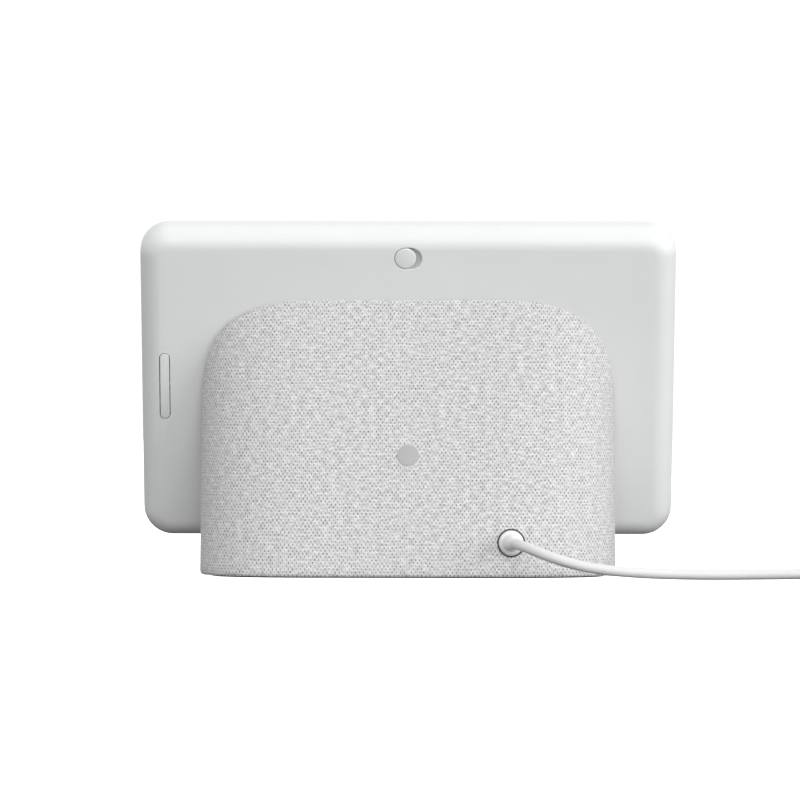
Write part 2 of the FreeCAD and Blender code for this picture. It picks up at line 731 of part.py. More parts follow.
def loudspeaker():
    """A full-range driver behind the rear wall. Along its axis, 0 is the wall and minus is inwards."""
    seat = "-speaker_gasket_thick"
    spots = [
        ("speaker_screw_circle * cos(%d)" % turn, "speaker_screw_circle * sin(%d)" % turn)
        for turn in SPEAKER_SCREW_TURNS
    ]
    gasket_inner = "surround_radius + 0.2"
    gasket = turned(
        "speaker_gasket", ON_REAR_WALL,
        [(gasket_inner, "0"), ("speaker_flange", "0"), ("speaker_flange", seat), (gasket_inner, seat)],
    )
    basket = turned(
        "speaker_basket", ON_REAR_WALL,
        [
            ("surround_radius", seat), ("speaker_flange", seat), ("speaker_flange", "-2.3"),
            ("19.5", "-2.3"), ("12.8", "-9.3"), ("12.8", "-10"), ("8.2", "-10"), ("8.2", "-9.3"),
            ("11.6", "-9.3"), ("surround_radius", "-2.9"),
        ],
    )
    for body in (gasket, basket):
        cut_circles(body, "-1", "6", spots, "1.0")
    turned(
        "speaker_top_plate", ON_REAR_WALL,
        [("6.9", "-10"), ("12.5", "-10"), ("12.5", "-12"), ("6.9", "-12")],
    )
    turned(
        "speaker_magnet", ON_REAR_WALL,
        [("8.5", "-12"), ("13", "-12"), ("13", "-17"), ("8.5", "-17")],
    )
    turned(
        "speaker_yoke", ON_REAR_WALL,
        [
            ("0", "-10.2"), ("5.6", "-10.2"), ("5.6", "-17"),
            ("12.5", "-17"), ("12.5", "-19"), ("0", "-19"),
        ],
    )
    turned(
        "speaker_cone", ON_REAR_WALL,
        [("coil_outer", "-7"), ("cone_radius", "-2.9"), ("cone_radius", "-2.5"), ("coil_outer", "-6.5")],
    )
    turned(
        "voice_coil", ON_REAR_WALL,
        [("coil_inner", "-6.5"), ("coil_outer", "-6.5"), ("coil_outer", "-13.5"), ("coil_inner", "-13.5")],
    )
    turned(
        "dust_cap", ON_REAR_WALL,
        [
            ("0", "-4.6"), ("3.4", "-5.2"), ("coil_outer", "-6.5"),
            ("coil_inner", "-6.5"), ("3.2", "-5.6"), ("0", "-5"),
        ],
    )
    middle = "(cone_radius + surround_radius)/2"
    turned(
        "speaker_surround", ON_REAR_WALL,
        [
            ("cone_radius", "-2.9"), ("cone_radius", "-2.5"),
            (middle + " - 0.7", "-1.4"), (middle + " + 0.7", "-1.4"),
            ("surround_radius", "-2.5"), ("surround_radius", "-2.9"),
            (middle + " + 0.5", "-1.8"), (middle + " - 0.5", "-1.8"),
        ],
    )
    turned(
        "speaker_spider", ON_REAR_WALL,
        [
            ("coil_outer", "-8.3"), ("9", "-8"), ("12.2", "-8.3"),
            ("12.2", "-8.6"), ("9", "-8.3"), ("coil_outer", "-8.6"),
        ],
    )
    screws("speaker_screws", ON_REAR_WALL, spots, "2.3", "1.2", "1.7", "3.9", "0.8")


# ------------------------------------------------------------------ power inlet and plug
def power_inlet():
    """The round inlet: a dark ring in the rear wall, the jack behind it and its small board."""
    face = number("jack_face")
    ring = local_rod(AT_INLET, number("inlet_ring"), 14, 0, face, 0)
    ring = ring.fuse(local_rod(AT_INLET, number("inlet_ring") + 1.4, 1.0, 0, face, 0))
    ring = ring.cut(local_rod(AT_INLET, number("inlet_bore"), 16, 0, face - 1, 0))
    proud = base_form([(-2.0, -0.35), (TOP, -0.35)], GAP)
    solid_part("inlet_ring", ring.common(proud))
    body = block(("9", "13", "9"), ("inlet_across - 4.5", "jack_face - 13", "inlet_up - 4.4"))
    bore = rod("2.9", "11", ("inlet_across", "jack_face + 1", "inlet_up"))
    cut_from("power_jack", Placement(), body, [bore])
    board_body = block(("30", "24.5", "1.6"), ("inlet_across - 9", "-4", "inlet_up - 6"))
    board_hole = rod("1.1", "6", ("inlet_across + 17", "1", "inlet_up - 8"), 0.0)
    cut_from("power_board", Placement(), board_body, [board_hole])
    solid_part("wiring_harness", swept(rounded_path(HARNESS_ROUTE)[0], 1.6))


def power_plug():
    """The barrel plug seated in the inlet: metal sleeve, moulded grip and tapered strain relief."""
    turned(
        "plug_sleeve", AT_INLET,
        [("1.1", "12"), ("2.75", "12"), ("2.75", "jack_face + 0.6"), ("1.1", "jack_face + 0.6")],
    )
    turned(
        "power_plug", AT_INLET,
        [
            ("0", "jack_face + 0.6"), ("plug_radius", "jack_face + 0.6"), ("plug_radius", "plug_face - 0.8"),
            ("plug_radius - 0.8", "plug_face"), ("0", "plug_face"),
        ],
    )
    turned(
        "strain_relief", AT_INLET,
        [
            ("cord_diameter/2", "plug_face"), ("2.9", "plug_face"), ("2.6", "plug_face + 2"),
            ("2.05", "plug_face + relief_length"), ("cord_diameter/2", "plug_face + relief_length"),
        ],
    )


# ------------------------------------------------------------------ cord
def rounded_path(points):
    """Straight runs joined by tangent arcs, each as large as its two runs allow, and their radii."""
    edges = []
    radii = []
    last = points[0]
    for before, corner, after in zip(points, points[1:], points[2:]):
        shorter = min((corner - before).Length, (after - corner).Length)
        arriving = (corner - before).normalize()
        leaving = (after - corner).normalize()
        turn = arriving.getAngle(leaving)
        back = 0.45 * shorter
        radius = back / math.tan(turn / 2)
        first = corner - arriving * back
        final = corner + leaving * back
        towards = (leaving - arriving).normalize()
        nearest = corner + towards * (radius / math.cos(turn / 2) - radius)
        edges.append(Part.LineSegment(last, first).toShape())
        edges.append(Part.Arc(first, nearest, final).toShape())
        radii.append(radius)
        last = final
    edges.append(Part.LineSegment(last, points[-1]).toShape())
    return Part.Wire(edges), radii


def swept(path, radius):
    """A round tube along a path."""
    start = path.Edges[0].valueAt(path.Edges[0].FirstParameter)
    along = path.Edges[0].tangentAt(path.Edges[0].FirstParameter)
    ring = Part.Wire([Part.Circle(start, along, radius).toShape()])
    return path.makePipeShell([ring], True, False)


FLOOR_HEIGHT = number("cord_diameter/2") + 0.02
HARNESS_ROUTE = [
    Vector(-22.0, 0.0, 8.8),
    Vector(-14.0, -7.0, 12.0),
    Vector(-6.0, -14.0, 18.0),
    Vector(0.0, -21.5, 26.8),
    Vector(0.0, -28.3, 30.2),
]
CORD_ROUTE = [
    Vector(-33.8, 30.9, 11.5),
    Vector(-33.8, 42.9, 11.5),
    Vector(-39.3, 52.4, 11.1),
    Vector(-48.9, 57.6, 8.7),
    Vector(-61.0, 57.4, 5.0),
    Vector(-76.0, 53.4, 2.6),
    Vector(-94.0, 47.6, FLOOR_HEIGHT),
    Vector(-114.0, 43.6, FLOOR_HEIGHT),
    Vector(-135.0, 42.4, FLOOR_HEIGHT + 0.9),
    Vector(-158.0, 43.0, FLOOR_HEIGHT + 1.0),
]
TAIL_ROUTE = [
    Vector(-182.0, 20.0, 8.6),
    Vector(-181.4, 13.0, 8.6),
    Vector(-178.6, 6.5, 8.0),
    Vector(-178.6, -0.5, 8.0),
]


def report_tube(label, wire, tube, radius, radii):
    expected = math.pi * radius ** 2 * wire.Length
    print("%s: length %.1f mm, volume %.0f of %.0f" % (label, wire.Length, tube.Volume, expected))
    print("%s: bend radii %s mm" % (label, " ".join("%.1f" % bend for bend in radii)))


def power_cord():
    """The flexible lead: the free stretch, the put-away coil with its tie, and the tail to the adapter."""
    radius = number("cord_diameter/2")
    for label, route in (("power_cord", CORD_ROUTE), ("cord_tail", TAIL_ROUTE)):
        wire, radii = rounded_path(route)
        tube = swept(wire, radius)
        report_tube(label, wire, tube, radius, radii)
        solid_part(label, tube)
    half = "coil_half_width"
    bulge = "1.6"
    coil_foot = Vector(number("coil_x"), number("coil_y"), number("coil_lift"))
    outer = "coil_mid + " + half
    inner = "coil_mid - " + half
    turned(
        "cord_coil", Placement(coil_foot, Rotation(Vector(1, 0, 0), 90)),
        [
            (inner + " + " + bulge, "0"), (outer + " - " + bulge, "0"),
            (outer, bulge), (outer, "coil_tall - " + bulge),
            (outer + " - " + bulge, "coil_tall"), (inner + " + " + bulge, "coil_tall"),
            (inner, "coil_tall - " + bulge), (inner, bulge),
        ],
    )
    inside = "coil_x + coil_mid - coil_half_width"
    strap_size = ("2*coil_half_width + 1.4", "5", "coil_tall + 1.2")
    bundle_size = ("2*coil_half_width + 0.4", "7", "coil_tall + 0.1")
    strap = block(strap_size, (inside + " - 0.7", "coil_y - 2.5", "0"))
    bundle = block(bundle_size, (inside + " - 0.3", "coil_y - 3.5", "coil_lift - 0.05"))
    cut_from("cord_tie", Placement(), strap, [bundle])


def wall_adapter():
    """The small mains adapter at the cord's far end, lying on its side, with two flat blades."""
    adapter_foot = Vector(number("coil_x"), number("adapter_y"), 0)
    body = start_body("adapter_body", Placement(adapter_foot, Rotation()))
    outline = new_sketch(body, "XY_Plane")
    rounded_rectangle(outline, "adapter_side", "adapter_side", "9")
    feature = pad(body, outline, "adapter_tall")
    reach = number("adapter_side")
    top = number("adapter_tall")
    loops = edges_at(feature.Shape, (-reach, -reach, top - 0.01), (reach, reach, top + 0.01))
    loops += edges_at(feature.Shape, (-reach, -reach, -0.01), (reach, reach, 0.01))
    fillet(body, feature, loops, "2.5")
    blades = []
    for sign in ("-", "+"):
        across = "coil_x %s 6.35 - 0.75" % sign
        blades.append(block(("1.5", "6.3", "16"), (across, "adapter_y - 3.15", "adapter_tall")))
    joined("adapter_blades", Placement(), blades)
    exit_place = Placement(Vector(-178.6, number("adapter_y"), 8.0), Rotation())
    turned(
        "adapter_relief", exit_place,
        [("0", "21"), ("3.2", "21"), ("2.1", "26.5"), ("0", "26.5")],
    )


def finish():
    """Checks every object and sub-part, then writes one file for each sub-part."""
    doc.recompute()
    for item in doc.Objects:
        if any(state in item.State for state in ("Invalid", "Error")):
            raise ValueError("%s (%s) failed" % (item.Label, item.Name))
    os.makedirs("parts", exist_ok=True)
    for item in SUBPARTS:
        shape = item.Shape
        if shape.isNull() or not shape.isValid() or not shape.Solids:
            raise ValueError(item.Label + " has no valid solid")
        shape.exportStep(os.path.join("parts", item.Label + ".step"))
    print("%d sub-parts written" % len(SUBPARTS))


rear_shell()
screen()
sensors()
electronics()
neck_joint()
mute_control()
volume_control()
fabric_sleeve()
base_housing()
floor_parts()
badge()
loudspeaker()
power_inlet()
power_plug()
power_cord()
wall_adapter()
finish()
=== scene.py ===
import math
from itertools import accumulate

import bmesh
import bpy
from mathutils import Matrix, Vector


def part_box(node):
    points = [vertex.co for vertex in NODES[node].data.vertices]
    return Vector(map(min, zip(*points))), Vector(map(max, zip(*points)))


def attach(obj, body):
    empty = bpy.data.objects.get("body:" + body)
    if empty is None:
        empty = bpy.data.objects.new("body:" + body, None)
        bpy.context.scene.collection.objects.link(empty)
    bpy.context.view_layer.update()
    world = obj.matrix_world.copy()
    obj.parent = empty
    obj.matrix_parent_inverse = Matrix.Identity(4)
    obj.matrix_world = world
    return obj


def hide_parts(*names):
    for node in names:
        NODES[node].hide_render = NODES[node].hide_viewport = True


# The outside of a small countertop smart display: a white moulded slab that leans on a fabric-covered base.
# Metres, +Z up, the screen faces -Y and the fabric's rear faces +Y.

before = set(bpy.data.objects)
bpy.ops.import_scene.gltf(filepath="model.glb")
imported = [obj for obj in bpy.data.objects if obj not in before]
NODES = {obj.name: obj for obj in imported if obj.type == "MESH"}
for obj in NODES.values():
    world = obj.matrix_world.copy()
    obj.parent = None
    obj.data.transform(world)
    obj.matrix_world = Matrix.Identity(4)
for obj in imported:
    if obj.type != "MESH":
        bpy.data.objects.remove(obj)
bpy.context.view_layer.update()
MM = 0.001
X, Y, Z = 0, 1, 2
UP = Vector((0, 0, 1))

# The display's own frame has the table frame's origin and leans back about X.
LEAN = math.radians(20.45)
LEANING = Matrix.Rotation(-LEAN, 4, "X")


def lean_box(*names):
    """The lowest and highest corners of some CAD nodes, along the display's leaning axes."""
    level = LEANING.inverted()
    points = [level @ v.co for name in names for v in NODES[name].data.vertices]
    low = Vector([min(p[i] for p in points) for i in range(3)])
    high = Vector([max(p[i] for p in points) for i in range(3)])
    return low, high


# ------------------------------------------------------------------ camera and cord
camera_data = bpy.data.cameras.new("studio_camera")
camera_data.lens = 249.1
camera_data.sensor_width = 36
camera = bpy.data.objects.new("studio_camera", camera_data)
camera.location = (2.66 * MM, 1.84, 58.2 * MM)
camera.rotation_euler = (math.radians(90), math.radians(-0.08), math.radians(180))
bpy.context.scene.collection.objects.link(camera)
bpy.context.scene.camera = camera

CORD_RADIUS = 1.7 * MM
CORD_START = (-33.8, 30.9, 11.5)
FREE_ROUTE = [
    CORD_START,
    (-33.8, 40.0, 11.7),
    (-37.3, 49.3, 11.0),
    (-45.3, 55.8, 7.7),
    (-57.0, 57.0, 4.3),
    (-72.0, 53.8, 2.5),
    (-92.0, 48.0, 1.72),
    (-114.0, 43.6, 1.72),
    (-134.0, 43.2, 2.0),
    (-147.5, 46.0, 2.3),
]
COIL_CENTRE = (-163.0, 24.0)
COIL_RADII = (24.1, 20.7, 17.3, 13.9, 13.9, 17.3, 20.7, 24.1, 24.1, 20.7, 17.3, 13.9)
COIL_HEIGHTS = (2.3,) * 4 + (5.7,) * 4 + (9.1,) * 4
COIL_START_ANGLE = 75.0
COIL_TURN_POINTS = 16
COIL_TURNS = 11 + (172.0 - COIL_START_ANGLE) / 360
TAIL_ROUTE = [
    (-177.1, 17.0, 11.6),
    (-177.6, 9.5, 12.8),
    (-178.3, 3.2, 11.4),
    (-178.6, -1.6, 8.9),
    (-178.6, -5.8, 8.0),
]


def ease(share):
    """A smooth step from 0 to 1."""
    return share * share * (3 - 2 * share)


def coil_route():
    """Control points of the turns: each keeps its radius and level, then steps on in a quarter turn."""
    # a quadratic spline runs inside its control points, so they stand a little further out
    spread = 1 / (0.75 + 0.25 * math.cos(2 * math.pi / COIL_TURN_POINTS))
    points = []
    for step in range(int(COIL_TURNS * COIL_TURN_POINTS) + 1):
        turns = step / COIL_TURN_POINTS
        lane = int(turns + 0.5)
        change = ease(min(1.0, max(0.0, (turns + 0.5 - lane) * 4)))
        before = max(0, lane - 1)
        lane = min(lane, len(COIL_RADII) - 1)
        radius = COIL_RADII[before] + (COIL_RADII[lane] - COIL_RADII[before]) * change
        height = COIL_HEIGHTS[before] + (COIL_HEIGHTS[lane] - COIL_HEIGHTS[before]) * change
        angle = math.radians(COIL_START_ANGLE) + 2 * math.pi * turns
        across = COIL_CENTRE[0] + radius * spread * math.cos(angle)
        along = COIL_CENTRE[1] + radius * spread * math.sin(angle)
        points.append((across, along, height))
    return points


def spline_curve(name, route, order):
    """A curve object through or along a route in millimetres, with no thickness yet."""
    curve = bpy.data.curves.new(name, "CURVE")
    curve.dimensions = "3D"
    spline = curve.splines.new("NURBS")
    spline.points.add(len(route) - 1)
    for point, place in zip(spline.points, route):
        point.co = (*(Vector(place) * MM), 1)
    spline.order_u = order
    spline.use_endpoint_u = True
    spline.resolution_u = 6
    piece = bpy.data.objects.new(name, curve)
    bpy.context.scene.collection.objects.link(piece)
    return piece


def baked(piece):
    """The piece's mesh with its modifiers or its curve's thickness worked in."""
    bpy.context.view_layer.update()
    return bpy.data.meshes.new_from_object(piece.evaluated_get(bpy.context.evaluated_depsgraph_get()))


power_lead = spline_curve("power_lead", FREE_ROUTE + coil_route() + TAIL_ROUTE, 3)
power_lead.data.splines[0].resolution_u = 20
LEAD_LINE = [v.co.copy() for v in baked(power_lead).vertices]
power_lead.data.splines[0].resolution_u = 6
power_lead.data.bevel_depth = CORD_RADIUS
power_lead.data.bevel_resolution = 5
power_lead.data.use_fill_caps = True


# ------------------------------------------------------------------ materials
def linear(code):
    """An sRGB hex value as linear RGBA."""
    parts = [int(code[i:i + 2], 16) / 255 for i in (1, 3, 5)]
    return (*[c / 12.92 if c <= 0.04045 else ((c + 0.055) / 1.055) ** 2.4 for c in parts], 1)


def add_node(tree, kind, inputs, **settings):
    """Adds a node with its settings; an input is a value or the output it comes from."""
    made = tree.nodes.new("ShaderNode" + kind)
    for name, value in settings.items():
        setattr(made, name, value)
    for key, value in inputs.items():
        if isinstance(value, bpy.types.NodeSocket):
            tree.links.new(value, made.inputs[key])
        else:
            made.inputs[key].default_value = value
    return made


def start_material(name, **values):
    """A new material, its node tree and its shader with these socket values."""
    material = bpy.data.materials.new(name)
    material.use_nodes = True
    shader = material.node_tree.nodes["Principled BSDF"]
    for key, value in values.items():
        shader.inputs[key.replace("_", " ")].default_value = value
    return material, material.node_tree, shader


def surface(name, light, dark, roughness, grain, depth, stretch=(1, 1, 1), patch=12.0, **values):
    """A material whose colour wanders between two close tones over patches, with a fine grain in relief.
    grain and patch are in millimetres, depth is the grain's height in millimetres."""
    material, tree, shader = start_material(name, Roughness=roughness, **values)
    place = add_node(tree, "TexCoord", {}).outputs["Object"]
    drawn = add_node(tree, "Mapping", {"Vector": place, "Scale": stretch}).outputs["Vector"]
    wander = add_node(tree, "TexNoise", {"Vector": place, "Scale": 1 / (patch * MM), "Detail": 3.0})
    tone = add_node(
        tree, "Mix", {0: wander.outputs["Fac"], 6: linear(light), 7: linear(dark)}, data_type="RGBA",
    )
    tree.links.new(tone.outputs[2], shader.inputs["Base Color"])
    relief = add_node(tree, "TexNoise", {"Vector": drawn, "Scale": 1 / (grain * MM), "Detail": 4.0})
    bump = add_node(
        tree, "Bump", {"Height": relief.outputs["Fac"], "Distance": depth * MM, "Strength": 0.6},
    )
    tree.links.new(bump.outputs["Normal"], shader.inputs["Normal"])
    worn = add_node(
        tree, "MapRange",
        {
            "Value": relief.outputs["Fac"], "From Min": 0.3, "From Max": 0.7,
            "To Min": roughness - 0.04, "To Max": roughness + 0.04,
        },
    )
    tree.links.new(worn.outputs["Result"], shader.inputs["Roughness"])
    return material


# Satin moulded PC-ABS: an even white with a soft, slightly grainy sheen from the spark-eroded tool.
shell_white = surface("moulded_pc_abs_white", "#F0F1F1", "#ECEDED", 0.42, 0.35, 0.012, IOR=1.53)
# The same plastic in the small controls, from a smoother tool, so their rims catch a brighter line.
control_white = surface("moulded_abs_control_white", "#EEEFEF", "#E9EAEA", 0.36, 0.3, 0.006, IOR=1.53)
# White ink printed behind polished glass: clean, cool and glossy, with no grain to see.
printed_border = surface(
    "white_ink_behind_glass", "#F1F2F2", "#EEEFF0", 0.08, 6.0, 0.001, patch=60.0, IOR=1.52, Coat_Weight=0.5,
)
# The unlit panel behind the same glass: almost black with a faint blue cast and sharp reflections.
dark_window = surface(
    "unlit_panel_behind_glass", "#07080A", "#0B0C0F", 0.06, 6.0, 0.001, patch=40.0, IOR=1.52, Coat_Weight=0.5,
)
# Soft-touch grey paint on a thin moulded disc: dull, with almost no grain.
badge_grey = surface("matt_grey_badge", "#B6B6B6", "#B2B2B2", 0.5, 0.4, 0.006)
# White TPE of the plug, its relief and the adapter's boot: smooth, slightly waxy and a little translucent.
plug_white = surface(
    "moulded_tpe_white", "#F3F3F3", "#F0F0F0", 0.42, 0.5, 0.006, IOR=1.5, Subsurface_Weight=0.4,
    Subsurface_Radius=(1, 1, 1), Subsurface_Scale=1.2 * MM,
)
# Extruded PVC jacket: waxy white with faint drawing lines and a soft highlight along its length.
jacket_white = surface(
    "extruded_pvc_white", "#E9E9E9", "#E4E4E4", 0.45, 1.4, 0.008, patch=18.0, IOR=1.52, Subsurface_Weight=0.4,
    Subsurface_Radius=(1, 1, 1), Subsurface_Scale=1.2 * MM,
)
# Polycarbonate of the mains adapter: white, a touch glossier than the display's back.
adapter_white = surface("moulded_polycarbonate_white", "#F0F0EF", "#ECECEB", 0.34, 0.3, 0.008, IOR=1.58)
# Moulded dark ABS in the inlet and the controls' floors: near black, satin.
dark_abs = surface("moulded_abs_dark", "#3A3A3C", "#333335", 0.45, 0.3, 0.01)
# Silicone of the foot: its warm tint is its own, and its dark grey is painted shade for the contact shadow it
# sits in; soft, matt and a little dusty.
foot_silicone_painted_shade = surface("moulded_silicone_painted_shade", "#6E6460", "#665C58", 0.62, 0.6, 0.015, patch=20.0, IOR=1.41)
# Woven nylon strap of hook and loop: matt white with a short crosswise rib.
strap_nylon = surface(
    "hook_and_loop_nylon_white", "#E4E3E1", "#D6D5D3", 0.85, 0.45, 0.12, stretch=(1, 0.2, 1), patch=3.0,
)
# Grey filled PC-ABS of the base's inner housing: plain and matt, as no one sees it in use.
housing_grey = surface("moulded_pc_abs_grey", "#A9A9A8", "#A2A2A1", 0.5, 0.4, 0.02)
# Nickel plate on brass: warm white metal with a clear, slightly soft reflection.
nickel = surface("nickel_plated_brass", "#CFCBC2", "#C7C3BA", 0.24, 0.5, 0.004, Metallic=1.0)
# Zinc-plated steel screws: blue-grey and a little cloudy.
zinc = surface("zinc_plated_steel", "#B9BDC1", "#AEB2B7", 0.35, 0.4, 0.006, Metallic=1.0)
# Cold-rolled tinplate for trays, cans and brackets: fine rolling lines along the sheet.
sheet_steel = surface(
    "cold_rolled_tinplate", "#B4B5B5", "#A9AAAA", 0.38, 0.5, 0.006, stretch=(0.05, 1, 1), Metallic=1.0,
)
# Plain rolled aluminium of the heat spreader: paler than the steel, with broad rolling lines.
aluminium = surface(
    "rolled_aluminium", "#CDCED0", "#C2C3C5", 0.4, 0.7, 0.008, stretch=(0.04, 1, 1), Metallic=1.0,
)
# Drawn copper wire of the voice coil: warm, with the windings as fine rings.
copper = surface(
    "enamelled_copper_wire", "#B8733F", "#A8642F", 0.3, 0.3, 0.02, stretch=(1, 4, 1), Metallic=1.0,
)
# Solder mask over glass-fibre board: deep green and lightly glossy over the weave.
board_green = surface("solder_mask_green", "#1E5A3C", "#1A5036", 0.3, 0.6, 0.01, patch=5.0)
# Epoxy of chip packages: charcoal, finely matt.
epoxy_black = surface("moulded_epoxy_black", "#26272A", "#202124", 0.55, 0.15, 0.006)
# Polyimide ribbon: amber and glossy.
polyimide = surface("polyimide_film_amber", "#B0701E", "#A36617", 0.28, 0.8, 0.004)
# Closed-cell foam of gaskets: black and matt, with fine open pores.
foam = surface("polyurethane_foam_black", "#2C2C2D", "#252526", 0.9, 0.35, 0.08)
# Liquid-crystal cell: dark, faintly green glass.
cell_glass = surface("liquid_crystal_cell", "#15191A", "#111516", 0.12, 4.0, 0.001)
# Diffuser film of the backlight: milky white.
diffuser = surface("diffuser_film", "#E6E8E9", "#DEE0E1", 0.5, 0.5, 0.004)
# Sintered ferrite magnet: dark grey, slightly rough and metallic.
ferrite = surface("sintered_ferrite", "#3B3B3D", "#313133", 0.5, 0.5, 0.03, Metallic=0.3)
# Pressed paper cone: dark grey with visible fibres.
paper = surface("pressed_paper_pulp", "#3A3938", "#2E2D2C", 0.85, 0.8, 0.05, stretch=(1, 1, 0.4), patch=2.0)
# Butyl rubber of surround and mat: black with a dull bloom.
rubber = surface("butyl_rubber_black", "#242424", "#2B2B2B", 0.6, 0.5, 0.01)

CAD_FINISHES = {
    cell_glass: ["lcd_panel"],
    diffuser: ["backlight_unit"],
    sheet_steel: [
        "lcd_tray", "processor_shield", "radio_shield", "neck_bracket", "speaker_top_plate", "speaker_yoke",
    ],
    foam: ["glass_gasket", "speaker_gasket"],
    board_green: ["sensor_board", "main_board", "mute_board", "volume_board", "power_board"],
    epoxy_black: ["microphones", "light_sensor", "mute_switch", "volume_switches"],
    aluminium: ["heat_spreader"],
    zinc: ["board_screws", "neck_screws", "base_screws", "speaker_screws"],
    polyimide: ["antenna_left", "antenna_right", "display_flex", "speaker_spider"],
    dark_abs: ["mute_switch_knob", "rocker_cradle", "inlet_ring", "power_jack", "speaker_basket"],
    rubber: ["rocker_mat", "speaker_surround", "wiring_harness"],
    housing_grey: ["base_housing", "floor_plate"],
    foot_silicone_painted_shade: ["foot_pad"],
    ferrite: ["speaker_magnet"],
    paper: ["speaker_cone", "dust_cap"],
    copper: ["voice_coil"],
    nickel: ["plug_sleeve"],
}
def marker_film():
    """Printed film on the slider's floor: white where it shows at rest, warm orange under the cap."""
    material, tree, shader = start_material("printed_marker_film", Roughness=0.45)
    place = add_node(tree, "TexCoord", {}).outputs["Object"]
    across = add_node(tree, "SeparateXYZ", {"Vector": place}).outputs["X"]
    # the printed patch ends short of the slot's far end, so none of it shows in the gap round the cap
    from_patch = add_node(tree, "Math", {0: across, 1: 2.1 * MM}, operation="SUBTRACT")
    distance = add_node(tree, "Math", {0: from_patch.outputs[0]}, operation="ABSOLUTE")
    share = add_node(
        tree, "MapRange", {"Value": distance.outputs[0], "From Min": 2.0 * MM, "From Max": 1.9 * MM},
    )
    tone = add_node(
        tree, "Mix", {0: share.outputs["Result"], 6: linear("#DCDCDC"), 7: linear("#C8502F")},
        data_type="RGBA",
    )
    tree.links.new(tone.outputs[2], shader.inputs["Base Color"])
    return material


def flat_noise(tree, place, size, detail, **inputs):
    """Flat noise over this place, with features of about this size in the place's own units."""
    values = {"Vector": place, "Scale": 1 / size, "Detail": detail}
    return add_node(tree, "TexNoise", {**values, **inputs}, noise_dimensions="2D")


def knit_material():
    """Polyester melange knit: pale loops in staggered rows, of darker and lighter yarn in short streaks, and
    painted shade in the hollows between the loops.
    """
    stitch_width, course_height = 1.33 * MM, 2.0 * MM
    material, tree, shader = start_material(
        "melange_polyester_knit", Roughness=0.9, IOR=1.45, Sheen_Weight=0.25, Sheen_Roughness=0.5,
    )
    cloth = add_node(tree, "UVMap", {}, uv_map="cloth").outputs["UV"]
    parts = add_node(tree, "SeparateXYZ", {"Vector": cloth})
    # a slow wander keeps the rows of loops from lying dead straight
    wobble = flat_noise(tree, cloth, 9 * MM, 1.0)
    waves = []
    for side, size in (("X", stitch_width), ("Y", course_height)):
        turned = add_node(tree, "Math", {0: parts.outputs[side], 1: 2 * math.pi / size}, operation="MULTIPLY")
        shifted = add_node(
            tree, "Math", {0: wobble.outputs["Fac"], 1: 1.4, 2: turned.outputs[0]}, operation="MULTIPLY_ADD",
        )
        waves.append(add_node(tree, "Math", {0: shifted.outputs[0]}, operation="COSINE").outputs[0])
    lattice = add_node(tree, "Math", {0: waves[0], 1: waves[1]}, operation="MULTIPLY").outputs[0]
    hollow = add_node(tree, "MapRange", {"Value": lattice, "From Min": 0.1, "From Max": 0.95})
    # yarn-to-yarn colour: short streaks along the courses
    drawn = add_node(
        tree, "Mapping", {"Vector": cloth, "Scale": (1 / (2.6 * MM), 1 / (0.8 * MM), 1)},
    ).outputs["Vector"]
    streak = flat_noise(tree, drawn, 1.0, 3.0, Roughness=0.7)
    yarn = add_node(tree, "MapRange", {"Value": streak.outputs["Fac"], "From Min": 0.34, "From Max": 0.66})
    tone = add_node(
        tree, "Mix", {0: yarn.outputs["Result"], 6: linear("#C6C6C6"), 7: linear("#E9E9E9")},
        data_type="RGBA",
    )
    # painted shade: the hollows between the loops are mixed towards dark grey, deeper at some loops than at
    # others
    loops = flat_noise(tree, cloth, 2.2 * MM, 2.0)
    depth = add_node(
        tree, "MapRange", {"Value": loops.outputs["Fac"], "From Min": 0.35, "From Max": 0.65, "To Min": 0.25},
    )
    dark = add_node(
        tree, "Math", {0: hollow.outputs["Result"], 1: depth.outputs["Result"]}, operation="MULTIPLY",
    )
    deep = add_node(
        tree, "Mix", {0: dark.outputs[0], 6: tone.outputs[2], 7: linear("#7C7C7C")}, data_type="RGBA",
    )
    tree.links.new(deep.outputs[2], shader.inputs["Base Color"])
    height = add_node(tree, "Math", {0: 1.0, 1: hollow.outputs["Result"]}, operation="SUBTRACT")
    fibre = flat_noise(tree, cloth, 0.3 * MM, 2.0)
    rough = add_node(
        tree, "Math", {0: fibre.outputs["Fac"], 1: 0.35, 2: height.outputs[0]}, operation="MULTIPLY_ADD",
    )
    bump = add_node(tree, "Bump", {"Height": rough.outputs[0], "Distance": 0.25 * MM, "Strength": 0.7})
    tree.links.new(bump.outputs["Normal"], shader.inputs["Normal"])
    return material


knit = knit_material()
CAD_FINISHES[marker_film()] = ["mute_marker"]
for finish, names in CAD_FINISHES.items():
    for name in names:
        slots = NODES[name].data.materials
        for index in range(len(slots)):
            slots[index] = finish


# ------------------------------------------------------------------ modelling helpers
def rounded_block(low, high, axis, corner, segments=12):
    """A block between two corners whose four edges along one axis are rounded."""
    centre = (Vector(low) + Vector(high)) / 2
    size = Vector(high) - Vector(low)
    mesh = bmesh.new()
    bmesh.ops.create_cube(mesh, size=1.0, matrix=Matrix.Translation(centre) @ Matrix.Diagonal((*size, 1)))
    across = [e for e in mesh.edges if abs((e.verts[0].co - e.verts[1].co)[axis]) > size[axis] / 2]
    bmesh.ops.bevel(
        mesh, geom=across, offset=corner, affect="EDGES", segments=segments, profile=0.5, material=-1,
    )
    return mesh


def end_edges(mesh, axis, level):
    """The edges that lie at one level along an axis."""
    return [e for e in mesh.edges if all(abs(v.co[axis] - level) < 1e-6 for v in e.verts)]


def soften(mesh, edges, radius, segments=4):
    bmesh.ops.bevel(
        mesh, geom=edges, offset=radius, affect="EDGES", segments=segments, profile=0.5, material=-1,
    )


def sharp_edges(mesh, degrees=35):
    return [e for e in mesh.edges if len(e.link_faces) == 2 and e.calc_face_angle() > math.radians(degrees)]


